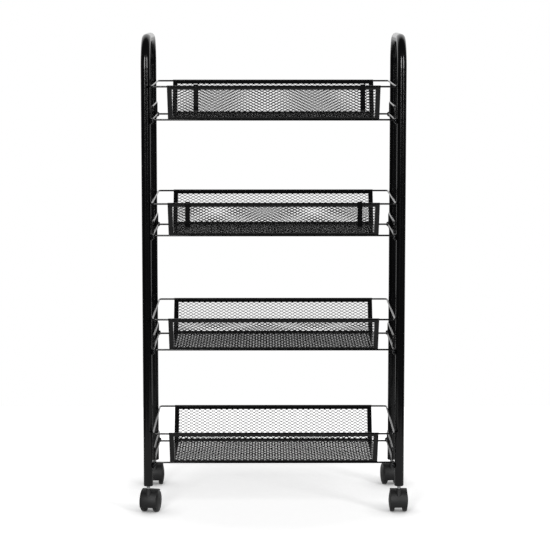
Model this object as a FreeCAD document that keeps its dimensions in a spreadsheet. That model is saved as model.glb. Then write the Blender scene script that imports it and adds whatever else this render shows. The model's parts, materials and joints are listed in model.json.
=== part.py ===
# Rolling shelf unit: two bent-tube side frames, four expanded-mesh trays, four twin-wheel castors
# and four strap hooks. Millimetres, +Z up, -Y to the front, origin on the floor under the middle.

import FreeCAD, Part
import math
import os
from types import SimpleNamespace

import Sketcher

Vector = FreeCAD.Vector

# Driving sizes, each with the name of its cell in the sheet. Angles are in degrees.
SIZES = {
    # side frames
    "frame_width": 450.0,      # over the outsides of the posts
    "handle_rise": 85.1,       # top of the handle runs above the top tray's rim
    "post_spread": 210.0,      # front post centre to back post centre
    "tube_dia": 16.0,
    "tube_wall": 1.0,
    "bend_radius": 50.0,       # at the tube's centre line
    # castor sockets in the post ends
    "socket_flange": 2.0,
    "socket_depth": 20.0,
    "socket_gap": 0.05,
    # trays
    "tier_pitch": 198.3,
    "tray_lift": 34.3,         # underside of the lowest tray above the posts' ends
    "tray_height": 61.5,
    "tray_inset": 29.0,        # ends of the mesh to the posts
    "rim_depth": 248.0,        # between the long runs of the top wire
    "floor_depth": 180.0,      # between the long runs of the bottom wire
    "wire_dia": 3.0,
    "wire_bend": 5.0,
    "wire_gap": 0.3,           # end runs to the posts
    "guard_rise": 22.0,        # end guard above the bottom wire
    "guard_inset": 15.0,       # its legs to the long runs of the bottom wire
    # mesh and the folded strips along its edges
    "mesh_thick": 0.8,
    "mesh_long": 100.0,        # long way of a diamond, drawn ten times the real one
    "mesh_short": 58.0,
    "mesh_strand": 5.5,
    "strip_thick": 0.5,
    "strip_width": 8.0,
    "hem_gap": 0.15,
    "wire_room": 0.03,         # top wire in its hem
    "hem_space": 0.2,
    # lugs and screws that hold the trays to the posts
    "lug_thick": 2.0,
    "lug_reach": 6.0,          # past the post's centre
    "lug_overlap": 16.0,       # along the bottom wire
    "lug_corner": 3.0,
    "lug_gap": 0.1,            # to the post, and in front of the bottom wire
    "lug_edge": 0.4,           # past the screw head, above and below
    "screw_lift": 0.3,         # screw above the underside of the tray
    "screw_dia": 4.0,
    "screw_head": 8.0,
    "screw_head_thick": 2.5,
    "screw_length": 9.0,
    "screw_gap": 0.1,
    # castors
    "castor_trail": 14.0,      # swivel axis to axle
    "wheel_dia": 38.0,
    "wheel_width": 7.8,
    "wheel_dome": 2.2,
    "wheel_cone": 7.0,         # width of the coned band on the outer face
    "hood_gap": 0.6,
    "hood_thick": 1.6,
    "hood_back": 60.0,         # angle about the axle, from straight back, upwards
    "hood_front": 25.0,        # from straight forward, downwards
    "hood_room": 8.0,          # hood to socket flange
    "web_gap": 0.5,
    "hub_radius": 7.0,
    "boss_wall": 2.0,          # round the stem
    "boss_step": 1.5,          # boss to the sides of the web
    "boss_space": 4.9,         # boss to socket flange
    "bore_below": 4.0,         # end of the bore below the axle
    "stem_dia": 6.0,
    "stem_thread": 8.0,
    "stem_reach": 20.0,        # into the socket
    "stem_gap": 0.05,
    "axle_dia": 4.0,
    "axle_reach": 5.6,         # into each wheel
    "axle_gap": 0.05,
    "axle_room": 0.3,
    # strap hooks on the front rims of the two upper trays
    "hook_width": 8.2,
    "hook_thick": 1.5,
    "hook_drop": 46.0,
    "hook_lap": 9.0,
    "hook_curl": 4.0,
    "hook_tip": 5.0,
    "hook_gap": 0.3,
    "upper_left_hook_in": 49.0,   # from the end of the rim band
    "upper_right_hook_in": 30.0,
    "lower_left_hook_in": 34.0,
    "lower_right_hook_in": 34.0,
    # swivel of each castor
    "front_left_turn": -13.0,
    "front_right_turn": 0.0,
    "rear_left_turn": 0.0,
    "rear_right_turn": 9.0,
}

TIERS = 4
FLATS = 8                                  # wires, screws and screw holes have eight flats
FLAT_ANGLE = math.pi / FLATS
TO_CORNER = 1 / math.cos(FLAT_ANGLE)       # from the middle of a flat out to a corner
OCTAGON_CUT = 1 - math.sqrt(0.5)           # corner taken off a square to make it an octagon
BEND_STEPS = 2                             # straight pieces in a wire's bend
TUBE_FLATS = 12                            # round a post, its socket and a castor's boss
TUBE_TO_CORNER = 1 / math.cos(math.pi / TUBE_FLATS)
TUBE_STEPS = 5                             # straight pieces in a bend of the side tube
HOOD_STEPS = 8                             # flats round a castor's hood
HUB_TURN = 45                              # from the hood's ends round to the hub
WHEEL_FLAT_COUNT = 28
HOOK_STEPS = 4                             # flats in each bend of a hook

doc = FreeCAD.newDocument("rolling_shelf_unit")
sheet = doc.addObject("Spreadsheet::Sheet", "Sizes")


class Size:
    """A number together with the formula that gives it from the sheet."""

    def __init__(self, number, formula):
        self.number = number
        self.formula = formula

    def __float__(self):
        return self.number

    def __neg__(self):
        return Size(-self.number, f"(-{self.formula})")

    def __add__(self, other):
        other = sized(other)
        return Size(self.number + other.number, f"({self.formula} + {other.formula})")

    def __sub__(self, other):
        other = sized(other)
        return Size(self.number - other.number, f"({self.formula} - {other.formula})")

    def __mul__(self, other):
        other = sized(other)
        return Size(self.number * other.number, f"({self.formula} * {other.formula})")

    def __truediv__(self, other):
        other = sized(other)
        return Size(self.number / other.number, f"({self.formula} / {other.formula})")

    def __rsub__(self, other):
        return sized(other) - self

    __radd__ = __add__
    __rmul__ = __mul__


def sized(value):
    """A plain number as a Size."""
    return value if isinstance(value, Size) else Size(float(value), f"({float(value)!r})")


def root(value):
    return Size(math.sqrt(value.number), f"sqrt({value.formula})")


def cosine(angle):
    return Size(math.cos(math.radians(angle.number)), f"cos({angle.formula} * 1 deg)")


def sine(angle):
    return Size(math.sin(math.radians(angle.number)), f"sin({angle.formula} * 1 deg)")


def fill_sheet():
    """Writes the sizes into the sheet and gives them back by name."""
    named = {}
    for row, (name, number) in enumerate(SIZES.items(), start=1):
        sheet.set(f"A{row}", name)
        sheet.set(f"B{row}", str(number))
        sheet.setAlias(f"B{row}", name)
        named[name] = Size(number, f"Sizes.{name}")
    doc.recompute()
    return SimpleNamespace(**named)


s = fill_sheet()

# Places that several pieces share.
tube_r = s.tube_dia / 2
post_x = s.frame_width / 2 - tube_r
post_y = s.post_spread / 2
post_inside = post_x - tube_r
wheel_r = s.wheel_dia / 2
hood_inner_r = wheel_r + s.hood_gap
hood_outer_r = hood_inner_r + s.hood_thick
boss_dia = s.stem_dia + 2 * s.boss_wall
wheel_space = boss_dia + 2 * (s.boss_step + s.web_gap)
bore_floor = wheel_r - s.bore_below
flange_z = wheel_r + hood_outer_r + s.hood_room
post_end = flange_z + s.socket_flange
wire_r = s.wire_dia / 2
wire_x = post_inside - s.wire_gap - wire_r
rim_y = s.rim_depth / 2
floor_y = s.floor_depth / 2
slot_half = s.mesh_thick / 2 + s.hem_gap
band_half = slot_half + s.strip_thick
hem_inner_r = wire_r * TO_CORNER + s.wire_room
hem_outer_r = (hem_inner_r + s.strip_thick) * TO_CORNER
tray_half = post_inside - s.tray_inset
lowest_tray = post_end + s.tray_lift
lug_outside = post_inside - s.lug_gap
lug_inside = lug_outside - s.lug_thick
screw_hole_r = (s.screw_dia / 2 + s.screw_gap) * TO_CORNER
screw_head_r = s.screw_head / 2 * TO_CORNER

# The front wall of a tray, seen from its end: it leans out from the fold to the top wire.
# Heights here are above the underside of the tray.
fold_z = s.wire_dia + band_half
top_wire_z = s.tray_height - hem_outer_r
wall_run = rim_y - floor_y
wall_rise = top_wire_z - fold_z
wall_length = root(wall_run * wall_run + wall_rise * wall_rise)
lean_y = wall_run / wall_length
lean_z = wall_rise / wall_length
hem_foot = wall_length + hem_outer_r - s.strip_width


def wall_point(along, inward):
    """Place on the front wall: up from the fold, and inward from the middle of the mesh."""
    return (inward * lean_z - along * lean_y - floor_y, fold_z + along * lean_z + inward * lean_y)


def fold_along(inward):
    """How far up the wall the fold lies on a face this far inward."""
    return inward * (wall_length - wall_run) / wall_rise


def fold_point(inward):
    return wall_point(fold_along(inward), inward)


def bind(piece, **properties):
    """Ties properties of a document object to the sheet; a double underscore stands for a dot."""
    for name, size in properties.items():
        piece.setExpression(name.replace("__", "."), sized(size).formula)
    return piece


def attach(body, feature, role, offset=None):
    """Lays a feature on one of the body's own planes, moved along the plane's normal by offset."""
    plane = [item for item in body.Origin.OriginFeatures if item.Role == role]
    feature.AttachmentSupport = [(plane[0], "")]
    feature.MapMode = "FlatFace"
    if offset is not None:
        bind(feature, AttachmentOffset__Base__z=offset)
    return feature


def new_sketch(body, role, name, offset=None):
    return attach(body, body.newObject("Sketcher::SketchObject", name), role, offset)


def hold_point(sketch, item, end, point):
    """Fixes one point of a sketch at its two sizes from the origin."""
    for kind, size in zip(("DistanceX", "DistanceY"), point):
        number = sketch.addConstraint(Sketcher.Constraint(kind, -1, 1, item, end, float(size)))
        sketch.setExpression(f"Constraints[{number}]", sized(size).formula)


def flat(point):
    return Vector(float(point[0]), float(point[1]), 0)


def draw(sketch, points, closed=True):
    """Draws straight lines from point to point."""
    lines = []
    for here, there in zip(points, points[1:] + points[:1] if closed else points[1:]):
        lines.append(sketch.addGeometry(Part.LineSegment(flat(here), flat(there)), False))
    for number, line in enumerate(lines):
        hold_point(sketch, line, 1, points[number])
        if closed or number + 1 < len(lines):
            following = lines[(number + 1) % len(lines)]
            sketch.addConstraint(Sketcher.Constraint("Coincident", line, 2, following, 1))
    if not closed:
        hold_point(sketch, lines[-1], 2, points[-1])
    return sketch


def circle(sketch, centre, radius):
    item = sketch.addGeometry(Part.Circle(flat(centre), Vector(0, 0, 1), float(radius)), False)
    hold_point(sketch, item, 3, centre)
    number = sketch.addConstraint(Sketcher.Constraint("Radius", item, float(radius)))
    sketch.setExpression(f"Constraints[{number}]", radius.formula)
    return sketch


def many_sided(sketch, centre, corner_r, sides, first=0.0):
    """A regular polygon with its first corner this far round, in steps of one side."""
    corners = []
    for number in range(sides):
        angle = 2 * math.pi * (number + first) / sides
        corners.append((centre[0] + corner_r * math.cos(angle), centre[1] + corner_r * math.sin(angle)))
    return draw(sketch, corners)


def new_body(name):
    return doc.addObject("PartDesign::Body", name)


def pad(body, sketch, length, side="One side", back=False):
    feature = body.newObject("PartDesign::Pad", f"{sketch.Name}_pad")
    feature.Profile = sketch
    feature.SideType = side
    feature.Reversed = back
    return bind(feature, Length=length)


def pocket(body, sketch, length, side="One side", back=False):
    feature = body.newObject("PartDesign::Pocket", f"{sketch.Name}_pocket")
    feature.Profile = sketch
    feature.SideType = side
    feature.Reversed = back
    return bind(feature, Length=length)


def mirrored(piece, normal):
    """The mirror image of a piece across a plane through the origin."""
    image = doc.addObject("Part::Mirroring", f"{piece.Name}_image")
    image.Source = piece
    image.Normal = normal
    return image


def grouped(name, pieces):
    group = doc.addObject("Part::Compound", name)
    group.Links = pieces
    return group


def four_corners(name, piece):
    """A piece and its images at the other three posts."""
    pair = grouped(f"{name}_pair", [piece, mirrored(piece, Vector(1, 0, 0))])
    return grouped(name, [pair, mirrored(pair, Vector(0, 1, 0))])


nodes = []


def node(label, piece):
    """Hands a finished piece in under its own name."""
    piece.Label = label
    nodes.append(piece)
    return piece


def placed(name, piece, turn=None, **place):
    """A further one of a piece, moved along the axes given and turned about the upright axis."""
    link = doc.addObject("App::Link", name)
    link.LinkedObject = piece
    link.LinkTransform = True
    for axis, size in place.items():
        bind(link, **{f"Placement__Base__{axis}": size})
    if turn is not None:
        bind(link, Placement__Rotation__Angle=turn)
    return link


def prism_along_x(name, corner_r, length, start_x, y, z):
    """An eight-sided bar along X."""
    bar = doc.addObject("Part::Prism", name)
    bar.Polygon = FLATS
    bar.Placement.Rotation = FreeCAD.Rotation(Vector(0, 1, 0), 90)
    bind(bar, Circumradius=corner_r, Height=length, Placement__Base__x=start_x)
    return bind(bar, Placement__Base__y=y, Placement__Base__z=z)


def side_frames():
    """One bent tube a side, with a screw hole in each post at each tray."""
    body = new_body("side_tube")
    top_rim = lowest_tray + (TIERS - 1) * s.tier_pitch + s.tray_height
    handle_z = top_rim + s.handle_rise - tube_r
    bend_y = post_y - s.bend_radius
    bend_z = handle_z - s.bend_radius
    stops = [(post_y, post_end)]
    stops += bend_points((bend_y, bend_z), s.bend_radius, 0, TUBE_STEPS)
    stops += bend_points((-bend_y, bend_z), s.bend_radius, 1, TUBE_STEPS)
    stops += [(-post_y, post_end)]
    path = draw(new_sketch(body, "YZ_Plane", "tube_path", post_x), stops, closed=False)
    section = new_sketch(body, "XY_Plane", "tube_section", post_end)
    many_sided(section, (post_x, post_y), tube_r, TUBE_FLATS)
    many_sided(section, (post_x, post_y), tube_r - s.tube_wall, TUBE_FLATS)
    tube = body.newObject("PartDesign::AdditivePipe", "tube_sweep")
    tube.Profile = section
    tube.Spine = path
    tube.Transition = "Right corner"
    holes = []
    for tier in range(TIERS):
        hole_z = lowest_tray + tier * s.tier_pitch + s.screw_lift
        for y in (-post_y, post_y):
            holes.append(prism_along_x("screw_hole", screw_hole_r, tube_r * 2, post_x - tube_r * 2, y, hole_z))
    drilled = doc.addObject("Part::Cut", "drilled_tube")
    drilled.Base = body
    drilled.Tool = grouped("screw_holes", holes)
    node("right_side_frame", drilled)
    node("left_side_frame", mirrored(drilled, Vector(1, 0, 0)))


def castor_socket():
    """Plug in a post's end that takes the castor's stem."""
    body = new_body("socket")
    centre = (sized(0), sized(0))
    bore_r = (s.stem_thread / 2 + s.stem_gap) * TUBE_TO_CORNER
    for name, start, height, corner_r in (
        ("flange", flange_z, s.socket_flange, tube_r),
        ("sleeve", post_end, s.socket_depth, tube_r - s.tube_wall - s.socket_gap),
    ):
        plan = new_sketch(body, "XY_Plane", f"socket_{name}", start)
        many_sided(plan, centre, corner_r, TUBE_FLATS)
        pad(body, many_sided(plan, centre, bore_r, TUBE_FLATS), height)
    return body


def bend_points(centre, radius, start, steps=BEND_STEPS):
    """Points round a quarter bend, anticlockwise from the start angle in quarter turns."""
    points = []
    for step in range(steps + 1):
        angle = (start + step / steps) * math.pi / 2
        points.append((centre[0] + radius * math.cos(angle), centre[1] + radius * math.sin(angle)))
    return points


def loop_points(half_x, half_y, aside):
    """A rectangle with bent corners, this far outside the wire's centre line."""
    in_x = half_x - s.wire_bend
    in_y = half_y - s.wire_bend
    points = []
    for quarter, (side_x, side_y) in enumerate(((1, 1), (-1, 1), (-1, -1), (1, -1))):
        points += bend_points((in_x * side_x, in_y * side_y), s.wire_bend + aside, quarter)
    return points


def round_off(body, flat_pad, axis):
    """Takes the corners off a flat-sided wire that was padded along the axis given."""
    doc.recompute()
    faces = []
    for number, face in enumerate(flat_pad.Shape.Faces, start=1):
        if face.Surface.TypeId == "Part::GeomPlane" and abs(face.normalAt(0, 0).dot(axis)) > 0.99:
            faces.append(f"Face{number}")
    corners = body.newObject("PartDesign::Chamfer", f"{flat_pad.Name}_corners")
    corners.Base = (flat_pad, faces)
    bind(corners, Size=s.wire_dia * OCTAGON_CUT)


def wire_loop(name, half_y, height):
    """Closed wire in a level plane."""
    body = new_body(name)
    sketch = new_sketch(body, "XY_Plane", f"{name}_plan", height)
    draw(sketch, loop_points(wire_x, half_y, wire_r))
    draw(sketch, loop_points(wire_x, half_y, -wire_r))
    round_off(body, pad(body, sketch, s.wire_dia, side="Symmetric"), Vector(0, 0, 1))
    return body


def end_guards():
    """Inverted U of wire at each open end, its feet welded on the bottom wire."""
    body = new_body("guard")
    leg_y = floor_y - s.guard_inset
    in_y = leg_y - s.wire_bend
    in_z = wire_r + s.guard_rise - s.wire_bend
    outer = bend_points((in_y, in_z), s.wire_bend + wire_r, 0)
    outer += bend_points((-in_y, in_z), s.wire_bend + wire_r, 1)
    inner = bend_points((in_y, in_z), s.wire_bend - wire_r, 0)
    inner += bend_points((-in_y, in_z), s.wire_bend - wire_r, 1)
    foot = s.wire_dia
    right_foot = [(leg_y - wire_r, foot), (leg_y + wire_r, foot)]
    left_foot = [(-leg_y - wire_r, foot), (-leg_y + wire_r, foot)]
    sketch = new_sketch(body, "YZ_Plane", "guard_side", wire_x)
    draw(sketch, right_foot + outer + left_foot + inner[::-1])
    round_off(body, pad(body, sketch, s.wire_dia, side="Symmetric"), Vector(1, 0, 0))
    return grouped("end_guards", [body, mirrored(body, Vector(1, 0, 0))])


def rim_bands():
    """Strip folded over the top wire and the upper edge of the mesh, front and back."""
    body = new_body("rim_band")

    def folded(half, corner_r):
        """One face of the strip: up the inside of the wall, round the wire in flats, down the outside."""
        points = [wall_point(hem_foot, half), wall_point(wall_length - hem_outer_r, half)]
        for flat_number in range(1, FLATS):
            angle = 2 * FLAT_ANGLE * flat_number
            points.append(wall_point(wall_length - corner_r * math.cos(angle), corner_r * math.sin(angle)))
        return points + [wall_point(wall_length - hem_outer_r, -half), wall_point(hem_foot, -half)]

    outline = folded(band_half, hem_outer_r) + folded(slot_half, hem_inner_r * TO_CORNER)[::-1]
    pad(body, draw(new_sketch(body, "YZ_Plane", "rim_section"), outline), tray_half * 2, side="Symmetric")
    return grouped("rim_bands", [body, mirrored(body, Vector(0, 1, 0))])


def across_tray(half):
    """Outline of a strip that follows wall, floor and wall, with this half thickness."""
    end = hem_foot - s.hem_space
    front = [wall_point(end, half), fold_point(half)]
    back = [(-y, z) for y, z in front[::-1]]
    under_front = [fold_point(-half), wall_point(end, -half)]
    under_back = [(-y, z) for y, z in under_front[::-1]]
    return front + back + under_back + under_front


def end_bands():
    """Strip folded over the mesh's end edges."""
    body = new_body("end_band")
    start_x = tray_half - s.strip_width
    pad(body, draw(new_sketch(body, "YZ_Plane", "band_side", start_x), across_tray(band_half)), s.strip_width)
    slot = draw(new_sketch(body, "YZ_Plane", "band_slot", start_x), across_tray(slot_half))
    pocket(body, slot, s.strip_width - s.strip_thick, back=True)
    return grouped("end_bands", [body, mirrored(body, Vector(1, 0, 0))])


def diamonds(length, width):
    """Openings of a sheet: staggered rows of diamonds, cut off short of the sheet's edges."""
    half_long, half_short = float(s.mesh_long) / 2, float(s.mesh_short) / 2
    strand = float(s.mesh_strand)
    side = math.hypot(half_long, half_short)
    hole_x = half_long - strand / 2 * side / half_short
    hole_y = half_short - strand / 2 * side / half_long
    window = Part.makePlane(length - 2 * strand, width - strand, Vector(strand, strand / 2, 0))
    rows = int((width / 2 + hole_y) / half_short)
    columns = int((length / 2 + hole_x) / half_long)
    holes = []
    for row in range(-rows, rows + 1):
        for column in range(-columns, columns + 1):
            if (row + column) % 2:
                continue
            x = length / 2 + column * half_long
            y = width / 2 + row * half_short
            corners = [(x - hole_x, y), (x, y + hole_y), (x + hole_x, y), (x, y - hole_y), (x - hole_x, y)]
            hole = Part.Face(Part.makePolygon([Vector(*corner, 0) for corner in corners])).common(window)
            if hole.Area > strand * strand:
                holes.append(hole)
    return holes


def mesh_panel(name, width, place):
    """Flat sheet of expanded mesh. Its edges run under the strips."""
    length = float(2 * (tray_half - s.strip_thick - s.hem_gap))
    sheet_face = Part.makePlane(length, width).cut(diamonds(length, width)).Faces[0]
    panel = doc.addObject("Part::Feature", name)
    panel.Shape = sheet_face.extrude(Vector(0, 0, float(s.mesh_thick)))
    panel.Placement = place
    return panel


def tray_mesh():
    """Floor, front wall and back wall of a tray."""
    half = s.mesh_thick / 2
    start_x = -float(tray_half - s.strip_thick - s.hem_gap)
    floor_edge = float(fold_point(half)[0])
    floor_place = FreeCAD.Placement(Vector(start_x, floor_edge, float(fold_z - half)), FreeCAD.Rotation())
    floor = mesh_panel("floor_mesh", -2 * floor_edge, floor_place)
    foot = fold_along(half)
    corner = wall_point(foot, half)
    wall_turn = FreeCAD.Rotation(Vector(1, 0, 0), Vector(0, -float(lean_y), float(lean_z)), Vector(), "XYZ")
    wall_place = FreeCAD.Placement(Vector(start_x, float(corner[0]), float(corner[1])), wall_turn)
    wall_width = wall_length - foot - wire_r - 2 * s.hem_gap
    front = mesh_panel("front_mesh", float(wall_width), wall_place)
    return grouped("tray_mesh", [front, floor, mirrored(front, Vector(0, 1, 0))])


def fixing_lugs():
    """Flat lugs welded under the bottom wire, stepped up at the post to take a screw."""
    body = new_body("lug")
    far = -post_y - s.lug_reach
    near = s.lug_overlap + s.wire_bend - floor_y
    step = -floor_y - wire_r - s.lug_gap
    top = s.screw_lift + screw_head_r + s.lug_edge
    foot = s.screw_lift - screw_head_r - s.lug_edge
    section = draw(
        new_sketch(body, "YZ_Plane", "lug_side", lug_inside),
        [
            (far, top - s.lug_corner),
            (far + s.lug_corner, top),
            (step, top),
            (step, sized(0)),
            (near, sized(0)),
            (near - s.lug_corner, foot),
            (far + s.lug_corner, foot),
            (far, foot + s.lug_corner),
        ],
    )
    many_sided(section, (-post_y, s.screw_lift), screw_hole_r, FLATS, first=0.5)
    pad(body, section, s.lug_thick)
    return four_corners("fixing_lugs", body)


def tray_screws():
    """One screw for each lug of each tray."""
    head_x = lug_inside - s.screw_head_thick
    shank_r = s.screw_dia / 2 * TO_CORNER
    head = prism_along_x("screw_head", screw_head_r, s.screw_head_thick, head_x, -post_y, s.screw_lift)
    shank = prism_along_x("screw_shank", shank_r, s.screw_length, lug_inside, -post_y, s.screw_lift)
    screw = doc.addObject("Part::Fuse", "screw")
    screw.Base = head
    screw.Tool = shank
    tray_set = four_corners("tray_screw_set", screw)
    tiers = []
    for tier in range(TIERS):
        level = grouped(f"screws_of_tier_{tier}", [tray_set])
        tiers.append(bind(level, Placement__Base__z=lowest_tray + tier * s.tier_pitch))
    node("tray_screws", grouped("all_screws", tiers))


def trays():
    """Four like trays, numbered from the top."""
    pieces = {
        "mesh": tray_mesh(),
        "rim_bands": rim_bands(),
        "end_bands": end_bands(),
        "top_wire": wire_loop("top_wire", rim_y, top_wire_z),
        "bottom_wire": wire_loop("bottom_wire", floor_y, wire_r),
        "end_guards": end_guards(),
        "lugs": fixing_lugs(),
    }
    for tier in range(TIERS):
        for name, piece in pieces.items():
            label = f"tray_{TIERS - tier}_{name}"
            node(label, placed(label, piece, z=lowest_tray + tier * s.tier_pitch))
    tray_screws()


def castor_housing():
    """Hooded body between and over the two wheels, with the boss that the stem turns in."""
    body = new_body("housing")
    hood_lip = s.hood_front + 180

    def about_axle(radius, start, end):
        """Points round the axle in even steps from one angle to another."""
        points = []
        for step in range(HOOD_STEPS + 1):
            angle = start + (end - start) * (step / HOOD_STEPS)
            points.append((s.castor_trail + radius * cosine(angle), wheel_r + radius * sine(angle)))
        return points

    over = about_axle(hood_outer_r, s.hood_back, hood_lip)
    under = about_axle(hood_inner_r, hood_lip, s.hood_back)
    hub = about_axle(s.hub_radius, hood_lip + HUB_TURN, s.hood_back + 360 - HUB_TURN)
    web = draw(new_sketch(body, "YZ_Plane", "web_side"), over + hub)
    pad(body, web, wheel_space - 2 * s.web_gap, side="Symmetric")
    hood = draw(new_sketch(body, "YZ_Plane", "hood_side"), over + under)
    pad(body, hood, wheel_space + 2 * s.wheel_width, side="Symmetric")
    boss_top = flange_z - s.boss_space
    centre = (sized(0), sized(0))
    boss = many_sided(new_sketch(body, "XY_Plane", "boss_plan", boss_top), centre, boss_dia / 2, TUBE_FLATS)
    pad(body, boss, boss_top - wheel_r, back=True)
    bore = circle(new_sketch(body, "XY_Plane", "bore_plan", boss_top), centre, s.stem_dia / 2 + s.stem_gap)
    pocket(body, bore, boss_top - bore_floor)
    axle_hole = new_sketch(body, "YZ_Plane", "axle_hole")
    circle(axle_hole, (s.castor_trail, wheel_r), s.axle_dia / 2 + s.axle_gap)
    pocket(body, axle_hole, wheel_space, side="Symmetric")
    return body


def castor_stem():
    """Steel stem: a round spindle in the boss, a flat-sided thread in the socket."""
    body = new_body("stem")
    centre = (sized(0), sized(0))
    foot = bore_floor + s.stem_gap
    spindle = circle(new_sketch(body, "XY_Plane", "spindle_plan", foot), centre, s.stem_dia / 2)
    pad(body, spindle, flange_z - foot)
    thread = new_sketch(body, "XY_Plane", "thread_plan", flange_z)
    pad(body, many_sided(thread, centre, s.stem_thread / 2, TUBE_FLATS), s.stem_reach)
    return body


def castor_axle():
    pin = doc.addObject("Part::Cylinder", "axle")
    pin.Placement.Rotation = FreeCAD.Rotation(Vector(0, 1, 0), 90)
    half = wheel_space / 2 + s.axle_reach
    bind(pin, Radius=s.axle_dia / 2, Height=half * 2, Placement__Base__x=-half)
    return bind(pin, Placement__Base__y=s.castor_trail, Placement__Base__z=wheel_r)


def castor_wheel():
    """Wheel on the +X side, with a coned outer face and a blind bore for the axle."""
    body = new_body("wheel")
    inside = wheel_space / 2
    disc = body.newObject("PartDesign::AdditivePrism", "wheel_disc")
    disc.Polygon = WHEEL_FLAT_COUNT
    attach(body, disc, "YZ_Plane", inside)
    bind(disc, AttachmentOffset__Base__x=s.castor_trail, AttachmentOffset__Base__y=wheel_r)
    bind(disc, Circumradius=wheel_r, Height=s.wheel_width + s.wheel_dome)
    doc.recompute()
    outer = [f"Face{number}" for number, face in enumerate(disc.Shape.Faces, start=1)
             if face.CenterOfMass.x > float(inside + s.wheel_width)]
    cone = body.newObject("PartDesign::Chamfer", "wheel_cone")
    cone.Base = (disc, outer)
    cone.ChamferType = "Two distances"
    bind(cone, Size=s.wheel_cone, Size2=s.wheel_dome)
    bore = new_sketch(body, "YZ_Plane", "wheel_bore", inside)
    circle(bore, (s.castor_trail, wheel_r), s.axle_dia / 2 + s.axle_gap)
    pocket(body, bore, s.axle_reach + s.axle_room, back=True)
    return body


def castors():
    """A castor under each post, each at its own swivel angle."""
    wheel = castor_wheel()
    pieces = {
        "housing": castor_housing(),
        "axle": castor_axle(),
        "right_wheel": wheel,
        "left_wheel": mirrored(wheel, Vector(1, 0, 0)),
    }
    sockets, stems = [], []
    socket, stem = castor_socket(), castor_stem()
    posts = {
        "front_left": (-post_x, -post_y, s.front_left_turn),
        "front_right": (post_x, -post_y, s.front_right_turn),
        "rear_left": (-post_x, post_y, s.rear_left_turn),
        "rear_right": (post_x, post_y, s.rear_right_turn),
    }
    for name, (x, y, turn) in posts.items():
        sockets.append(placed(f"{name}_socket", socket, x=x, y=y))
        stems.append(placed(f"{name}_stem", stem, x=x, y=y))
        for piece_name, piece in pieces.items():
            node(f"{name}_castor_{piece_name}", placed(f"{name}_{piece_name}", piece, turn, x=x, y=y))
    node("castor_sockets", grouped("socket_set", sockets))
    node("castor_stems", grouped("stem_set", stems))


def strap_hook():
    """Flat strip bent over the rim band, with a curled lower end."""
    body = new_body("strap_hook")
    inner_r = hem_outer_r + s.hook_gap
    outer_r = inner_r + s.hook_thick
    crown = (-rim_y, top_wire_z)
    curl_outer = s.hook_curl + s.hook_thick
    curl_z = top_wire_z + outer_r - s.hook_drop + curl_outer
    curl_y = -rim_y - outer_r - s.hook_curl
    tip_z = curl_z + s.hook_tip
    lap_y, lap_z = s.hook_lap * lean_y, s.hook_lap * lean_z

    def bend(centre, radius, start, end):
        """A bend in flats that touch a circle of this radius, from one angle to another in degrees."""
        step = (end - start) / HOOK_STEPS
        reach = radius / math.cos(math.radians(step / 2))
        angles = [math.radians(start + step * (number + 0.5)) for number in range(HOOK_STEPS)]
        return [(centre[0] + reach * math.cos(angle), centre[1] + reach * math.sin(angle)) for angle in angles]

    def down_wall(radius):
        return (crown[0] + radius * lean_z + lap_y, crown[1] + radius * lean_y - lap_z)

    lean = math.degrees(math.atan2(float(lean_y), float(lean_z)))
    curl = (curl_y, curl_z)
    outline = [down_wall(inner_r), down_wall(outer_r)]
    outline += bend(crown, outer_r, lean, 180)
    outline += bend(curl, s.hook_curl, 0, -180)
    outline += [(curl_y - s.hook_curl, tip_z), (curl_y - curl_outer, tip_z)]
    outline += bend(curl, curl_outer, -180, 0)
    outline += bend(crown, inner_r, 180, lean)
    section = draw(new_sketch(body, "YZ_Plane", "hook_side"), outline)
    pad(body, section, s.hook_width, side="Symmetric")
    return body


def hooks():
    """Two hooks on the front rim of each of the two upper trays."""
    hook = strap_hook()
    upper = lowest_tray + (TIERS - 1) * s.tier_pitch
    lower = lowest_tray + (TIERS - 2) * s.tier_pitch
    places = {
        "upper_left_hook": (s.upper_left_hook_in - tray_half, upper),
        "upper_right_hook": (tray_half - s.upper_right_hook_in, upper),
        "lower_left_hook": (s.lower_left_hook_in - tray_half, lower),
        "lower_right_hook": (tray_half - s.lower_right_hook_in, lower),
    }
    for label, (x, z) in places.items():
        node(label, placed(label, hook, x=x, z=z))


def write_parts():
    """Checks every object of the document, then writes one file for each node."""
    doc.recompute()
    failed = [item.Label for item in doc.Objects if {"Invalid", "Error"} & set(item.State)]
    shapes = {piece.Label: Part.getShape(piece) for piece in nodes}
    failed += [label for label, shape in shapes.items() if shape.isNull() or not shape.isValid()]
    if failed:
        raise RuntimeError("not built: " + ", ".join(failed))
    os.makedirs("parts", exist_ok=True)
    for label, shape in shapes.items():
        shape.exportStep(f"parts/{label}.step")
        print(f"{label}: {len(shape.Solids)} solid(s), {shape.Volume:.1f} mm3")


side_frames()
trays()
castors()
hooks()
write_parts()
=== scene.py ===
import bpy, bmesh, json, math
from mathutils import Matrix, Vector


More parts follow.
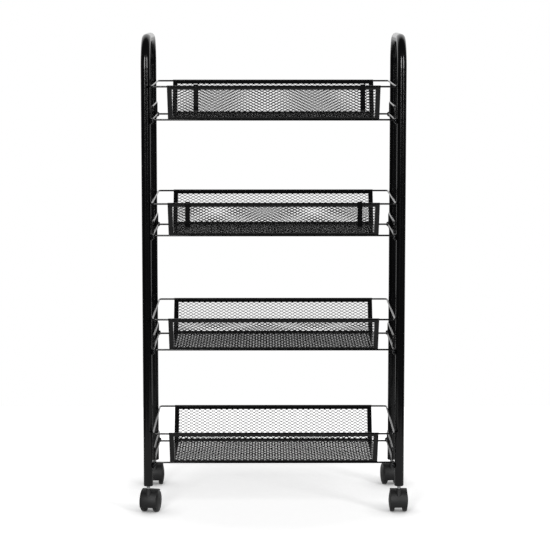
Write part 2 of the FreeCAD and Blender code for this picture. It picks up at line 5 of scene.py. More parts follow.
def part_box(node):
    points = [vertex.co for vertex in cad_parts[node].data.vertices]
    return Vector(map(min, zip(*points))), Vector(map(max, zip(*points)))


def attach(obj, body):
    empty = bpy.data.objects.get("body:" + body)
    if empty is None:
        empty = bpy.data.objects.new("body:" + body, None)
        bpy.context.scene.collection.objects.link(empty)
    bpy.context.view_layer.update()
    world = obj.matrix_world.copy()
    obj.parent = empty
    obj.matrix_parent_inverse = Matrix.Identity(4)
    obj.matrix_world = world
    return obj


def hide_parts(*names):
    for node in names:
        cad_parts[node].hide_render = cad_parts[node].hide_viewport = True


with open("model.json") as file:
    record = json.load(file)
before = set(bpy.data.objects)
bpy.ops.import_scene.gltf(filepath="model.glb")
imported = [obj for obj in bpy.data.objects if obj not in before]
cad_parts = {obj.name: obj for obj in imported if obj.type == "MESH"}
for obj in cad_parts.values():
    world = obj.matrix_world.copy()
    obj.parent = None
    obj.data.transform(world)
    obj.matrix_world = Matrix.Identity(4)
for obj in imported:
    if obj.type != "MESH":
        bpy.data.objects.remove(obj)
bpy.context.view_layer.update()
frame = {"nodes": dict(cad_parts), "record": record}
nodes = frame["nodes"]
joints = {joint["name"]: joint for joint in frame["record"]["behaviour"]["joints"]}
mm = 0.001
tiny = 1e-9
xAxis, yAxis, zAxis = Vector((1, 0, 0)), Vector((0, 1, 0)), Vector((0, 0, 1))
posts = ("front_left", "front_right", "rear_left", "rear_right")
trays = (1, 2, 3, 4)  # from the top down
print("frame loaded:", len(nodes), "nodes")


# materials

def linearRgb(hexCode):
    parts = [int(hexCode[at:at + 2], 16) / 255 for at in (1, 3, 5)]
    return [part / 12.92 if part <= 0.04045 else ((part + 0.055) / 1.055) ** 2.4 for part in parts] + [1.0]


# sockets go by name, or by number where a node repeats a name
def addNode(tree, kind, settings=None, values=None, links=None):
    node = tree.nodes.new(kind)
    for name, value in (settings or {}).items():
        setattr(node, name, value)
    for socket, value in (values or {}).items():
        node.inputs[socket].default_value = value
    for socket, source in (links or {}).items():
        tree.links.new(source, node.inputs[socket])
    return node


def grainScale(sizeMm):
    return 1 / (sizeMm * mm)  # noise cells per metre for grains of this size


def newMaterial(name):
    material = bpy.data.materials.new(name)
    material.use_nodes = True
    tree = material.node_tree
    tree.nodes.clear()
    place = addNode(tree, "ShaderNodeTexCoord").outputs["Object"]
    return material, tree, place


# a coloured, slightly uneven skin over a fine bump; every finish on this unit is one of these
def coatedMaterial(name, dark, light, patchMm, rough, grainMm, bumpMm, ior, metallic=0.0):
    material, tree, place = newMaterial(name)
    patches = addNode(tree, "ShaderNodeTexNoise", values={"Scale": grainScale(patchMm), "Detail": 3.0},
                      links={"Vector": place})
    tint = addNode(tree, "ShaderNodeMix", settings={"data_type": "RGBA"},
                   values={6: linearRgb(dark), 7: linearRgb(light)}, links={"Factor": patches.outputs["Fac"]})
    polish = addNode(tree, "ShaderNodeMapRange", values={"To Min": rough[0], "To Max": rough[1]},
                     links={"Value": patches.outputs["Fac"]})
    grain = addNode(tree, "ShaderNodeTexNoise", values={"Scale": grainScale(grainMm), "Detail": 2.0},
                    links={"Vector": place})
    bump = addNode(tree, "ShaderNodeBump", values={"Strength": 0.6, "Distance": bumpMm * mm},
                   links={"Height": grain.outputs["Fac"]})
    shader = addNode(tree, "ShaderNodeBsdfPrincipled", values={"IOR": ior, "Metallic": metallic},
                     links={"Base Color": tint.outputs[2], "Roughness": polish.outputs["Result"],
                            "Normal": bump.outputs["Normal"]})
    addNode(tree, "ShaderNodeOutputMaterial", links={"Surface": shader.outputs["BSDF"]})
    return material


# sprayed and baked polyester powder: deep black, a tight highlight with a faint orange-peel ripple,
# which is drawn coarser than life so that it shows
powderCoat = coatedMaterial("glossBlackPowderCoatOnSteel", dark="#050506", light="#0a0a0b", patchMm=40,
                            rough=(0.13, 0.19), grainMm=6, bumpMm=0.003, ior=1.5)
# injection-moulded nylon with a spark-eroded skin: charcoal, broad dull highlight
mouldedNylon = coatedMaterial("mouldedBlackNylon", dark="#0f0f10", light="#161617", patchMm=12,
                              rough=(0.5, 0.62), grainMm=0.6, bumpMm=0.03, ior=1.53)
# nylon from a polished tool: the wheel discs catch a tighter highlight
wheelNylon = coatedMaterial("polishedBlackNylon", dark="#0b0b0c", light="#121213", patchMm=12,
                            rough=(0.32, 0.44), grainMm=0.8, bumpMm=0.015, ior=1.53)
# moulded polyethylene: waxy, with a soft, wide highlight
plugPolyethylene = coatedMaterial("blackPolyethylenePlug", dark="#0f0f10", light="#171718", patchMm=8,
                                  rough=(0.4, 0.5), grainMm=0.7, bumpMm=0.02, ior=1.51)
# zinc-plated mild steel: pale grey with faint cloudy patches
zincPlate = coatedMaterial("brightZincPlatedSteel", dark="#b9bbbd", light="#d6d7d6", patchMm=4,
                           rough=(0.22, 0.38), grainMm=0.5, bumpMm=0.01, ior=1.5, metallic=1.0)
# black zinc plating: a dark mirror that only shows where a lamp strikes it
blackZinc = coatedMaterial("blackZincPlatedSteel", dark="#2c2d2f", light="#3a3b3d", patchMm=4,
                           rough=(0.2, 0.32), grainMm=0.5, bumpMm=0.01, ior=1.5, metallic=1.0)
print("materials made")


# pieces

def addObject(name, data):
    added = bpy.data.objects.new(name, data)
    bpy.context.scene.collection.objects.link(added)
    return added


def coat(mesh, material):
    mesh.materials.clear()
    mesh.materials.append(material)


def addPiece(name, mesh, material, body, node):
    piece = addObject(name, mesh)
    coat(mesh, material)
    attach(piece, body)
    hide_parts(node)


def smoothByAngle(mesh, degrees=35):
    mesh.polygons.foreach_set("use_smooth", [True] * len(mesh.polygons))
    mesh.set_sharp_from_angle(angle=math.radians(degrees))
    return mesh


def meshFrom(name, points, faces):
    mesh = bpy.data.meshes.new(name)
    mesh.from_pydata(points, [], faces)
    mesh.validate()
    return mesh


def facedOut(mesh):
    fixer = bmesh.new()
    fixer.from_mesh(mesh)
    bmesh.ops.recalc_face_normals(fixer, faces=fixer.faces)
    fixer.to_mesh(mesh)
    fixer.free()
    return mesh


# round bar along a flat path; across is the normal of the path's plane
def sweepRound(points, radius, across, closed, sides):
    count = len(points)
    rings, faces = [], []
    for number, point in enumerate(points):
        before = points[number - 1] if closed or number else point
        after = points[(number + 1) % count] if closed or number + 1 < count else point
        inDir = (point - before).normalized() if point != before else (after - point).normalized()
        outDir = (after - point).normalized() if after != point else inDir
        along = (inDir + outDir).normalized()
        aside = along.cross(across).normalized()
        stretch = 1 / max(along.dot(outDir), 0.5)  # widens a mitre to the bar's width, at most twofold
        for side in range(sides):
            angle = 2 * math.pi * side / sides
            sideways = aside * (radius * stretch * math.cos(angle))
            rings.append(point + sideways + across * (radius * math.sin(angle)))
    steps = count if closed else count - 1
    for number in range(steps):
        low, high = number * sides, (number + 1) % count * sides
        for side in range(sides):
            nextSide = (side + 1) % sides
            faces.append((low + side, low + nextSide, high + nextSide, high + side))
    if not closed:
        faces.append(tuple(range(sides))[::-1])
        faces.append(tuple(range((count - 1) * sides, count * sides)))
    return rings, faces


# quarter bend, in the plane of the two unit vectors
def bendArc(centre, radius, first, second, steps):
    return [centre + first * (radius * math.cos(angle)) + second * (radius * math.sin(angle))
            for angle in (math.pi / 2 * step / steps for step in range(steps + 1))]


# two legs and a run over them, across the unit from front to back
def archPath(x, halfY, footZ, topZ, bend, steps):
    path = [Vector((x, -halfY, footZ))]
    path += bendArc(Vector((x, bend - halfY, topZ - bend)), bend, -yAxis, zAxis, steps)
    path += bendArc(Vector((x, halfY - bend, topZ - bend)), bend, zAxis, yAxis, steps)
    return path + [Vector((x, halfY, footZ))]


def roundMesh(name, runs, radius, across, closed, sides):
    points, faces = [], []
    for run in runs:
        runPoints, runFaces = sweepRound(run, radius, across, closed, sides)
        faces += [tuple(corner + len(points) for corner in face) for face in runFaces]
        points += runPoints
    return smoothByAngle(facedOut(meshFrom(name, points, faces)))


# solids of revolution about Z: (radius, height) points, closed on the axis or into a ring
def spunMesh(name, profile, steps):
    points, faces, rings = [], [], []
    for radius, height in profile:
        if radius < tiny:
            rings.append([len(points)] * steps)
            points.append((0, 0, height))
            continue
        rings.append(list(range(len(points), len(points) + steps)))
        for step in range(steps):
            angle = 2 * math.pi * step / steps
            points.append((radius * math.cos(angle), radius * math.sin(angle), height))
    onAxis = profile[0][0] < tiny and profile[-1][0] < tiny
    for at in range(len(rings) - onAxis):
        low, high = rings[at], rings[(at + 1) % len(rings)]
        for step in range(steps):
            after = (step + 1) % steps
            corners = []
            for corner in (low[step], low[after], high[after], high[step]):
                if corner not in corners:
                    corners.append(corner)
            if len(corners) > 2:
                faces.append(tuple(corners))
    return smoothByAngle(facedOut(meshFrom(name, points, faces)))


# flat outline (in Y and Z) given a thickness along X
def slabMesh(name, outline, lowX, highX):
    count = len(outline)
    points = [(x, y, z) for x in (lowX, highX) for y, z in outline]
    faces = [tuple(range(count)), tuple(range(2 * count - 1, count - 1, -1))]
    faces += [(at, (at + 1) % count, count + (at + 1) % count, count + at) for at in range(count)]
    return facedOut(meshFrom(name, points, faces))


def arcYZ(centre, radius, startDeg, endDeg, steps):
    angles = [math.radians(startDeg + (endDeg - startDeg) * step / steps) for step in range(steps + 1)]
    return [(centre[0] + radius * math.cos(angle), centre[1] + radius * math.sin(angle)) for angle in angles]


# one mesh with a copy of another at each place
def gathered(name, mesh, places):
    gather = bmesh.new()
    for place in places:
        copy = mesh.copy()
        copy.transform(place)
        gather.from_mesh(copy)
        bpy.data.meshes.remove(copy)
    made = bpy.data.meshes.new(name)
    gather.to_mesh(made)
    gather.free()
    return smoothByAngle(made)


# joins or cuts meshes, then breaks the sharp edges, and gives one clean mesh back
def builtUp(name, mesh, others, edge, operation="UNION", rounds=2, fromDeg=40):
    base = addObject(name, mesh)
    helpers = []
    for number, other in enumerate(others):
        helper = addObject(f"{name}Helper{number}", other)
        helpers.append(helper)
        joint = base.modifiers.new(f"join{number}", "BOOLEAN")
        joint.object = helper
        joint.operation = operation
        joint.solver = "EXACT"
    if edge:
        bevel = base.modifiers.new("edges", "BEVEL")
        bevel.width = edge
        bevel.segments = rounds
        bevel.limit_method = "ANGLE"
        bevel.angle_limit = math.radians(fromDeg)
    graph = bpy.context.evaluated_depsgraph_get()
    made = bpy.data.meshes.new_from_object(base.evaluated_get(graph))
    made.name = name
    for helper in [base] + helpers:
        bpy.data.objects.remove(helper)
    return smoothByAngle(made)


# side frames: one bent tube a side
sideTube = {"radius": 8 * mm, "bend": 50 * mm, "bendSteps": 20, "sides": 40}


def buildSideTube(side):
    node = f"{side}_side_frame"
    low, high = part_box(node)
    radius = sideTube["radius"]
    path = archPath((low.x + high.x) / 2, high.y - radius, low.z, high.z - radius,
                    sideTube["bend"], sideTube["bendSteps"])
    mesh = roundMesh(f"{side}SideTube", [path], radius, xAxis, False, sideTube["sides"])
    addPiece(f"{side}SideTube", mesh, powderCoat, "frame", node)


for side in ("left", "right"):
    buildSideTube(side)
print("side tubes built")

# tray wires: top loop, bottom loop and the two end guards
trayWire = {"radius": 1.5 * mm, "bend": 5 * mm, "bendSteps": 8, "sides": 20}


def loopPath(low, high):
    radius, bend = trayWire["radius"], trayWire["bend"]
    halfX, halfY, z = high.x - radius - bend, high.y - radius - bend, (low.z + high.z) / 2
    path = []
    turns = ((1, 1, xAxis, yAxis), (-1, 1, yAxis, -xAxis), (-1, -1, -xAxis, -yAxis), (1, -1, -yAxis, xAxis))
    for signX, signY, first, second in turns:
        path += bendArc(Vector((signX * halfX, signY * halfY, z)), bend, first, second, trayWire["bendSteps"])
    return path


def buildTrayWires(number):
    radius, sides = trayWire["radius"], trayWire["sides"]
    for loop in ("top", "bottom"):
        node = f"tray_{number}_{loop}_wire"
        mesh = roundMesh(f"{loop}Wire{number}", [loopPath(*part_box(node))], radius, zAxis, True, sides)
        addPiece(f"{loop}Wire{number}", mesh, powderCoat, "frame", node)
    node = f"tray_{number}_end_guards"
    low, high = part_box(node)
    runs = [archPath(x, high.y - radius, low.z, high.z - radius, trayWire["bend"], trayWire["bendSteps"])
            for x in (low.x + radius, high.x - radius)]
    mesh = roundMesh(f"endGuards{number}", runs, radius, xAxis, False, sides)
    addPiece(f"endGuards{number}", mesh, powderCoat, "frame", node)


# expanded mesh: one sheet of staggered diamonds, folded twice, its strands twisted as slit and
# stretched sheet leaves them
expandedMesh = {"longWay": 9.96 * mm, "shortWay": 5.806 * mm, "strand": 0.8 * mm, "thick": 0.55 * mm,
                "twist": -0.05 * mm, "foldY": 90 * mm, "foldUp": 4.05 * mm, "wireY": 124 * mm,
                "wireDown": 2.33 * mm, "height": 61.5 * mm, "topShort": 1.8 * mm, "wallRows": 21,
                "creaseIn": 4 * mm, "creaseUp": 2.2 * mm, "creaseFoot": 1.05 * mm, "creaseSkin": 1.1,
                "sharpDeg": 50}

wallRun = expandedMesh["wireY"] - expandedMesh["foldY"]
wallClimb = expandedMesh["height"] - expandedMesh["wireDown"] - expandedMesh["foldUp"]
wallLength = math.hypot(wallRun, wallClimb)


# Y and Z on the back wall: up from the fold, and inward from the middle of the sheet
def wallPlace(along, inward, base):
    y = expandedMesh["foldY"] + (along * wallRun - inward * wallClimb) / wallLength
    return y, base + expandedMesh["foldUp"] + (along * wallClimb + inward * wallRun) / wallLength


# where a point of the flat sheet comes to lie: u along the tray, v across its floor and up its walls
def meshPlace(u, v, rise, base):
    beyond = abs(v) - expandedMesh["foldY"]
    if beyond <= tiny:
        return (u, v, base + expandedMesh["foldUp"] + rise)
    y, z = wallPlace(min(beyond, wallLength - expandedMesh["topShort"]), rise, base)
    return (u, y if v > 0 else -y, z)


def buildTrayMesh(number):
    spec = expandedMesh
    node = f"tray_{number}_mesh"
    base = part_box(f"tray_{number}_bottom_wire")[0].z
    halfLong, halfShort = spec["longWay"] / 2, spec["shortWay"] / 2
    edge = math.hypot(halfLong, halfShort)
    insetU = spec["strand"] / 2 * edge / halfShort
    insetV = spec["strand"] / 2 * edge / halfLong
    columns = round(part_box(node)[1].x / halfLong)
    rows = round(spec["foldY"] / halfShort) + spec["wallRows"]
    half = spec["thick"] / 2
    points, faces, bonds, rims = [], [], {}, {}

    # upper and lower point where four strands meet
    def bond(column, row):
        if (column, row) not in bonds:
            bonds[column, row] = len(points)
            for rise in (half, -half):
                points.append(meshPlace(column * halfLong, row * halfShort, rise, base))
        return bonds[column, row]

    ways = ((1, 0), (0, 1), (-1, 0), (0, -1))
    for row in range(-rows, rows + 1):
        for column in range(-columns + 1, columns):
            if (row + column) % 2 == 0:
                continue
            outer = [bond(column + stepU, row + stepV) for stepU, stepV in ways]
            inner = []
            for stepU, stepV in ways:
                inner.append(len(points))
                u = (column + stepU) * halfLong - stepU * insetU
                v = (row + stepV) * halfShort - stepV * insetV
                for rise in (half, -half):
                    points.append(meshPlace(u, v, rise - stepV * spec["twist"], base))
            for at in range(4):
                a, b, c, d = outer[at], outer[(at + 1) % 4], inner[(at + 1) % 4], inner[at]
                faces += [(a, b, c, d), (d + 1, c + 1, b + 1, a + 1), (d, c, c + 1, d + 1)]
                if rims.pop((b, a), None) is None:
                    rims[a, b] = (b, a, a + 1, b + 1)
    faces += rims.values()  # closes the sheet's cut edges
    # the fold lines, pressed flat where the bottom wire is welded under them
    skin = spec["creaseSkin"]
    creaseEdges = ((spec["foldY"] - spec["creaseIn"], half), (spec["foldY"], spec["creaseFoot"]),
                   (spec["foldY"] + spec["creaseUp"], half))
    around = ((0, 2, 8, 6), (2, 4, 10, 8), (4, 5, 11, 10), (5, 3, 9, 11), (3, 1, 7, 9), (1, 0, 6, 7),
              (0, 1, 3, 2), (2, 3, 5, 4), (6, 8, 9, 7), (8, 10, 11, 9))
    for side in (-1, 1):
        first = len(points)
        for column in (-columns, columns):
            for v, low in creaseEdges:
                for rise in (half * skin, -low * skin):
                    points.append(meshPlace(column * halfLong, side * v, rise, base))
        faces += [tuple(first + at for at in (face if side > 0 else face[::-1])) for face in around]
    mesh = smoothByAngle(meshFrom(f"expandedMesh{number}", points, faces), spec["sharpDeg"])
    addPiece(f"expandedMesh{number}", mesh, powderCoat, "frame", node)


# rim bands: strip folded over the top wire and the upper edge of the mesh
rimBand = {"outer": 2.15 * mm, "inner": 1.65 * mm, "half": 1.05 * mm, "slot": 0.55 * mm, "width": 8 * mm,
           "bendSteps": 20}


def buildRimBands(number):
    node = f"tray_{number}_rim_bands"
    low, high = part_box(node)
    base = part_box(f"tray_{number}_bottom_wire")[0].z
    foot = wallLength + expandedMesh["wireDown"] - rimBand["width"]
    steps = rimBand["bendSteps"]

    def folded(radius, half):
        start = math.asin(half / radius)
        angles = [start + (2 * math.pi - 2 * start) * step / steps for step in range(steps + 1)]
        bend = [(wallLength - radius * math.cos(angle), radius * math.sin(angle)) for angle in angles]
        return [wallPlace(along, inward, base) for along, inward in [(foot, half)] + bend + [(foot, -half)]]

    outline = folded(rimBand["outer"], rimBand["half"]) + folded(rimBand["inner"], rimBand["slot"])[::-1]
    strip = slabMesh("strip", outline, low.x, high.x)
    mesh = facedOut(gathered(f"rimBands{number}", strip, [Matrix(), Matrix.Scale(-1, 4, yAxis)]))
    addPiece(f"rimBands{number}", mesh, powderCoat, "frame", node)


for number in trays:
    buildTrayWires(number)
    buildTrayMesh(number)
    buildRimBands(number)
    for piece in ("end_bands", "lugs"):
        coat(nodes[f"tray_{number}_{piece}"].data, powderCoat)
print("trays built")

# castors: hooded twin-wheel swivels; sizes in the castor's own frame, turned at rest as the frame has them;
# the wheel's profile is (along the axle, radius) in millimetres
castor = {"trail": 14 * mm, "wheelRadius": 19 * mm, "wheelSteps": 72, "edge": 0.35 * mm,
          "hoodInside": 19.6 * mm, "hoodOutside": 21.2 * mm, "hoodHalf": 14.8 * mm, "hoodCorner": 1.2 * mm,
          "hoodBackDeg": 60, "hoodLipDeg": 205, "hoodSteps": 40,
          "webHalf": 6.5 * mm, "webInsetDeg": 1, "webSteps": 32,
          "hub": 7 * mm, "hubLeadDeg": 45, "hubSteps": 16,
          "bossRadius": 5 * mm, "bossTop": 43.3 * mm, "bossSoft": 0.6 * mm, "bossSteps": 48,
          "wheelProfile": ((12.9, 0), (12.9, 2.05), (7.0, 2.05), (7.0, 17.6), (7.5, 18.6), (8.4, 19.0),
                           (13.2, 19.0), (14.2, 18.7), (14.8, 17.9), (15.0, 16.6), (14.7, 16.1), (15.1, 15.5),
                           (15.8, 12.5), (16.4, 9.0), (16.7, 6.6), (16.4, 6.2), (16.75, 5.7), (17.0, 3.0),
                           (17.0, 0))}


def wheelMesh(name, side):
    profile = [(radius * mm, along * mm) for along, radius in castor["wheelProfile"]]
    mesh = spunMesh(name, profile, castor["wheelSteps"])
    mesh.transform(Matrix.Rotation(math.radians(90), 4, "Y"))
    if side == "left":
        mesh.transform(Matrix.Scale(-1, 4, xAxis))
        mesh.flip_normals()
    mesh.transform(Matrix.Translation((0, castor["trail"], castor["wheelRadius"])))
    return mesh


def housingMesh(name):
    spec = castor
    axle = (spec["trail"], spec["wheelRadius"])
    inner, outer, half, corner = spec["hoodInside"], spec["hoodOutside"], spec["hoodHalf"], spec["hoodCorner"]
    back, lip, steps = spec["hoodBackDeg"], spec["hoodLipDeg"], spec["hoodSteps"]
    slant = corner * (1 - math.sqrt(0.5))
    section = [(half, inner), (half, outer - corner), (half - slant, outer - slant), (half - corner, outer),
               (corner - half, outer), (slant - half, outer - slant), (-half, outer - corner), (-half, inner)]
    count = len(section)
    points, faces = [], []
    for step in range(steps + 1):
        angle = math.radians(back + (lip - back) * step / steps)
        for x, radius in section:
            points.append((x, axle[0] + radius * math.cos(angle), axle[1] + radius * math.sin(angle)))
    for step in range(steps):
        low, high = step * count, (step + 1) * count
        for at in range(count):
            after = (at + 1) % count
            faces.append((low + at, low + after, high + after, high + at))
    faces += [tuple(range(count)), tuple(range(steps * count, (steps + 1) * count))]
    hood = facedOut(meshFrom("hood", points, faces))
    # the web between the wheels, from the hood down to the hub
    inset, lead = spec["webInsetDeg"], spec["hubLeadDeg"]
    outline = arcYZ(axle, (inner + outer) / 2, back + inset, lip - inset, spec["webSteps"])
    outline += arcYZ(axle, spec["hub"], lip + lead, back + 360 - lead, spec["hubSteps"])
    web = slabMesh("web", outline, -spec["webHalf"], spec["webHalf"])
    # the boss that takes the stem
    radius, foot, top, soft = spec["bossRadius"], axle[1], spec["bossTop"], spec["bossSoft"]
    profile = [(0, foot), (radius, foot), (radius, top - soft), (radius - soft, top), (0, top)]
    return builtUp(name, hood, [web, spunMesh("boss", profile, spec["bossSteps"])], spec["edge"])


def buildCastor(post):
    x, y, _ = joints[f"{post}_swivel"]["pos_m"]
    wheelAxis = joints[f"{post}_left_wheel_spin"]["axis"]
    turn = Matrix.Rotation(math.atan2(wheelAxis[1], wheelAxis[0]), 4, "Z")
    place = Matrix.Translation((x, y, 0)) @ turn
    for side in ("left", "right"):
        mesh = wheelMesh(f"{post}_{side}Wheel", side)
        mesh.transform(place)
        node = f"{post}_castor_{side}_wheel"
        addPiece(f"{post}_{side}Wheel", mesh, wheelNylon, f"{post}_{side}_wheel", node)
    mesh = housingMesh(f"{post}_housing")
    mesh.transform(place)
    node = f"{post}_castor_housing"
    addPiece(f"{post}_housing", mesh, mouldedNylon, f"{post}_castor", node)
    coat(nodes[f"{post}_castor_axle"].data, zincPlate)


# plugs with a rounded shoulder under the tubes' ends, and the stems' plain necks below them;
# shoulder, foot and tip are (radius, height) in millimetres, from the flange, the foot and down from the tip
plug = {"bore": 4.05 * mm, "flange": 8 * mm, "seat": 2 * mm, "spigot": 6.7 * mm, "steps": 48,
        "shoulder": ((6.4, 0), (7.3, 0.25), (7.85, 0.9), (8, 1.6))}
stem = {"neck": 3 * mm, "shank": 4 * mm, "steps": 40,
        "foot": ((2.6, 0), (3, 0.4)), "tip": ((4, 0.8), (3.2, 0))}


def buildPlugsAndStems():
    places = [Matrix.Translation((*joints[f"{post}_swivel"]["pos_m"][:2], 0)) for post in posts]
    flange, deep = (corner.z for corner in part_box("castor_sockets"))
    seat = flange + plug["seat"]
    profile = [(plug["bore"], flange)] + [(radius * mm, flange + up * mm) for radius, up in plug["shoulder"]]
    profile += [(plug["flange"], seat), (plug["spigot"], seat), (plug["spigot"], deep), (plug["bore"], deep)]
    mesh = gathered("castorPlugs", spunMesh("plug", profile, plug["steps"]), places)
    addPiece("castorPlugs", mesh, plugPolyethylene, "frame", "castor_sockets")
    foot, tip = (corner.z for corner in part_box("castor_stems"))
    profile = [(0, foot)] + [(radius * mm, foot + up * mm) for radius, up in stem["foot"]]
    profile += [(stem["neck"], flange), (stem["shank"], flange)]
    profile += [(radius * mm, tip - down * mm) for radius, down in stem["tip"]] + [(0, tip)]
    mesh = gathered("castorStems", spunMesh("stem", profile, stem["steps"]), places)
    addPiece("castorStems", mesh, zincPlate, "frame", "castor_stems")


for post in posts:
    buildCastor(post)
buildPlugsAndStems()
print("castors built")

# strap hooks over the front rims
strapHook = {"rimRadius": 2.33 * mm, "gap": 0.3 * mm, "thick": 1.5 * mm, "lap": 9 * mm, "curl": 4 * mm,
             "tip": 5 * mm, "edge": 0.3 * mm, "leanDeg": math.degrees(math.atan2(wallRun, wallClimb)),
             "bendSteps": 16}


def buildHook(name, tray):
    node = name + "_hook"
    low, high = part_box(node)
    spec, steps = strapHook, strapHook["bendSteps"]
    inside = spec["rimRadius"] + spec["gap"]
    outside = inside + spec["thick"]
    wireLow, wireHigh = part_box(f"tray_{tray}_top_wire")
    crown = (wireLow.y + trayWire["radius"], (wireLow.z + wireHigh.z) / 2)
    lean = math.radians(spec["leanDeg"])
    lap = (spec["lap"] * math.sin(lean), -spec["lap"] * math.cos(lean))
    curlMid = (crown[0] - outside - spec["curl"], low.z + spec["curl"] + spec["thick"])
    wide, tipZ = spec["curl"] + spec["thick"], curlMid[1] + spec["tip"]

    def lapped(point):
        return (point[0] + lap[0], point[1] + lap[1])

    over = arcYZ(crown, outside, spec["leanDeg"], 180, steps)
    under = arcYZ(crown, inside, 180, spec["leanDeg"], steps)
    outline = [lapped(over[0])] + over
    outline += arcYZ(curlMid, spec["curl"], 0, -180, steps)
    outline += [(curlMid[0] - spec["curl"], tipZ), (curlMid[0] - wide, tipZ)]
    outline += arcYZ(curlMid, wide, -180, 0, steps)
    outline += under + [lapped(under[-1])]
    mesh = builtUp(f"{name}Hook", slabMesh("strap", outline, low.x, high.x), [], spec["edge"], rounds=1)
    addPiece(f"{name}Hook", mesh, powderCoat, f"{name}_strap_hook", node)


for name, tray in (("upper_left", 1), ("upper_right", 1), ("lower_left", 2), ("lower_right", 2)):
    buildHook(name, tray)
print("hooks built")

# tray screws: button heads with a hexagon socket; the dome is in shares of the head's radius and thickness
screw = {"headRadius": 4 * mm, "headThick": 2.5 * mm, "shank": 2 * mm, "length": 9 * mm, "tipSoft": 0.6 * mm,
         "tipShare": 0.7, "socket": 1.45 * mm, "socketDeep": 1.4 * mm, "socketSides": 6, "keyOver": 1 * mm,
         "steps": 40, "postY": 105 * mm, "lift": 0.3 * mm, "lugThick": 2 * mm,
         "dome": ((0, 1), (0.55, 1), (0.8, 0.86), (0.95, 0.55), (1, 0.2), (1, 0))}


def buildScrews():
    spec = screw
    thick, shank, length, socket = spec["headThick"], spec["shank"], spec["length"], spec["socket"]
    profile = [(spec["headRadius"] * across, -thick * up) for across, up in spec["dome"]]
    profile += [(shank, 0), (shank, length - spec["tipSoft"])]
    profile += [(shank * spec["tipShare"], length), (0, length)]
    over, deep = -thick - spec["keyOver"], spec["socketDeep"] - thick
    key = spunMesh("key", [(0, over), (socket, over), (socket, deep), (0, deep)], spec["socketSides"])
    one = builtUp("screwHead", spunMesh("screwBlank", profile, spec["steps"]), [key], 0, "DIFFERENCE")
    one.transform(Matrix.Rotation(math.radians(90), 4, "Y"))
    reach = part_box("tray_1_lugs")[1].x - spec["lugThick"]
    places = []
    for number in trays:
        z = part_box(f"tray_{number}_bottom_wire")[0].z + spec["lift"]
        for turn, x in ((0, reach), (180, -reach)):
            for y in (-spec["postY"], spec["postY"]):
                places.append(Matrix.Translation((x, y, z)) @ Matrix.Rotation(math.radians(turn), 4, "Z"))
    mesh = gathered("trayScrews", one, places)
    addPiece("trayScrews", mesh, blackZinc, "frame", "tray_screws")


buildScrews()
print("screws built")

# studio: a white backdrop behind, a dark room in front, two tall strip lights in front;
# each lamp has its place, what it points at, width, height and power
# one entry is how far the painted contact shadow under the wheels spreads over the floor
studio = {"floorHex": "#d8d8d8", "floorHalf": 0.85, "paintedShadeReach": 0.05,
          "glowNear": 0.62, "glowFar": 1.0, "glowFrom": 0.2, "glowTo": 0.55,
          "roomDark": 0.05, "roomFrom": 0.45, "roomTo": 0.75, "backdrop": 1.0,
          "belowHorizon": 0.5, "horizonBlur": 0.02,
          "camera": {"place": (-0.015, -3.715, 0.8935), "tilt": 7.08, "turn": -0.23, "lens": 139.3,
                     "shift": (0.0029, -0.0304), "farthest": 100},
          "lamps": {"leftStrip": ((-1.05, -3.5, 2.05), (0, 0, 1.1), 0.8, 2.5, 82.0),
                    "rightStrip": ((2.6, -3.0, 2.05), (0, 0, 1.1), 0.8, 2.5, 82.0)}}


def buildFloor():
    half = studio["floorHalf"]
    corners = [(-half, -half, 0), (half, -half, 0), (half, half, 0), (-half, half, 0)]
    floor = addObject("floor", meshFrom("floor", corners, [(0, 1, 2, 3)]))
    material, tree, place = newMaterial("matPalePaperSweep")
    paper = addNode(tree, "ShaderNodeBsdfDiffuse", values={"Color": linearRgb(studio["floorHex"])})
    # a glow brings the paper to white and leaves the shadows on it; it is for the camera alone, because
    # mirrored in the gloss black it would turn the posts grey
    reach = addNode(tree, "ShaderNodeVectorMath", settings={"operation": "LENGTH"}, links={"Vector": place})
    fade = addNode(tree, "ShaderNodeMapRange",
                   values={"From Min": studio["glowFrom"], "From Max": studio["glowTo"],
                           "To Min": studio["glowNear"], "To Max": studio["glowFar"]},
                   links={"Value": reach.outputs["Value"]})
    # painted contact shadow: ambient occlusion takes the glow away close to the wheels, so the floor there is
    # drawn darker than the lamps alone would leave it
    paintedContactShade = addNode(tree, "ShaderNodeAmbientOcclusion", values={"Distance": studio["paintedShadeReach"]})
    glowLessPaintedShade = addNode(tree, "ShaderNodeMath", settings={"operation": "MULTIPLY"},
                   links={0: fade.outputs["Result"], 1: paintedContactShade.outputs["AO"]})
    rays = addNode(tree, "ShaderNodeLightPath")
    seen = addNode(tree, "ShaderNodeMath", settings={"operation": "MULTIPLY"},
                   links={0: glowLessPaintedShade.outputs[0], 1: rays.outputs["Is Camera Ray"]})
    glow = addNode(tree, "ShaderNodeEmission", links={"Strength": seen.outputs[0]})
    both = addNode(tree, "ShaderNodeAddShader", links={0: paper.outputs[0], 1: glow.outputs[0]})
    addNode(tree, "ShaderNodeOutputMaterial", links={"Surface": both.outputs[0]})
    coat(floor.data, material)


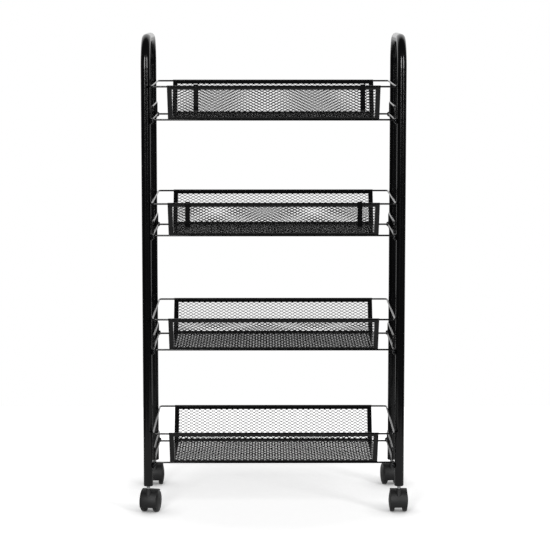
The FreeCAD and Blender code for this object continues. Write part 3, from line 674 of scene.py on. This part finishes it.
def buildWorld():
    world = bpy.data.worlds.new("whiteStudio")
    bpy.context.scene.world = world
    world.use_nodes = True
    tree = world.node_tree
    tree.nodes.clear()
    facing = addNode(tree, "ShaderNodeSeparateXYZ",
                     links={"Vector": addNode(tree, "ShaderNodeTexCoord").outputs["Generated"]})
    room = addNode(tree, "ShaderNodeMapRange", settings={"interpolation_type": "SMOOTHSTEP"},
                   values={"From Min": studio["roomFrom"], "From Max": studio["roomTo"],
                           "To Min": studio["roomDark"], "To Max": studio["backdrop"]},
                   links={"Value": facing.outputs["Y"]})
    blur = studio["horizonBlur"]
    height = addNode(tree, "ShaderNodeMapRange",
                     values={"From Min": -blur, "From Max": blur,
                             "To Min": studio["belowHorizon"], "To Max": 1.0},
                     links={"Value": facing.outputs["Z"]})
    lit = addNode(tree, "ShaderNodeMath", settings={"operation": "MULTIPLY"},
                  links={0: room.outputs["Result"], 1: height.outputs["Result"]})
    # the camera sees white all round
    rays = addNode(tree, "ShaderNodeLightPath")
    strength = addNode(tree, "ShaderNodeMath", settings={"operation": "MAXIMUM"},
                       links={0: lit.outputs[0], 1: rays.outputs["Is Camera Ray"]})
    sky = addNode(tree, "ShaderNodeBackground", values={"Color": (1, 1, 1, 1)},
                  links={"Strength": strength.outputs[0]})
    addNode(tree, "ShaderNodeOutputWorld", links={"Surface": sky.outputs[0]})


def buildLamps():
    for name, (place, target, width, height, power) in studio["lamps"].items():
        lamp = bpy.data.lights.new(name, "AREA")
        lamp.shape = "RECTANGLE"
        lamp.size, lamp.size_y = width, height
        lamp.energy = power
        box = addObject(name, lamp)
        box.location = place
        box.rotation_euler = (Vector(target) - Vector(place)).to_track_quat("-Z", "Y").to_euler()


def buildCamera():
    spec = studio["camera"]
    lens = bpy.data.cameras.new("camera")
    lens.lens = spec["lens"]
    lens.shift_x, lens.shift_y = spec["shift"]
    lens.clip_end = spec["farthest"]
    camera = addObject("camera", lens)
    camera.location = spec["place"]
    camera.rotation_euler = (math.radians(90 - spec["tilt"]), 0, math.radians(spec["turn"]))
    bpy.context.scene.camera = camera


bpy.context.scene.view_settings.view_transform = "Standard"
buildFloor()
buildWorld()
buildLamps()
buildCamera()
print("studio set")
